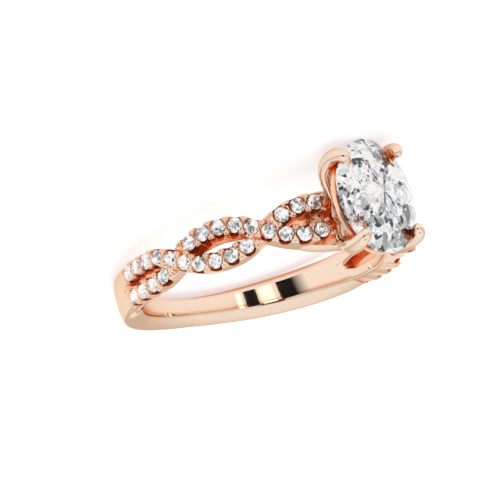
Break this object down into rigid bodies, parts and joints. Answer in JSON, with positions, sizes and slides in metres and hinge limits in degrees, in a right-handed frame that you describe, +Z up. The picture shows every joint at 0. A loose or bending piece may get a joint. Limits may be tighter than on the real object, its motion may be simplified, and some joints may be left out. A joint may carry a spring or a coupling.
{
  "type": "twisted shank ring",
  "caption": "Engagement ring with a braided, stone-set shank and an oval stone held in four claws.",
  "frame": {"origin": "middle of the finger bore, on its axis", "axes": "+X towards the head, +Y towards the left shoulder, +Z up from the surface the ring lies on; the bore leans 7 degrees from +Z because the ring rests on its side"},
  "size_m": [0.0252, 0.0204, 0.008],
  "materials": {
    "rose_gold": "14k rose gold, high polish",
    "diamond": "colourless faceted stone",
    "small_diamond": "colourless faceted stone"
  },
  "bodies": {
    "root": {"shank_and_setting": "rose_gold", "centre_stone": "diamond", "left_lower_pave": "small_diamond", "left_upper_pave": "small_diamond", "right_lower_pave": "small_diamond", "right_upper_pave": "small_diamond"}
  },
  "joints": []
}
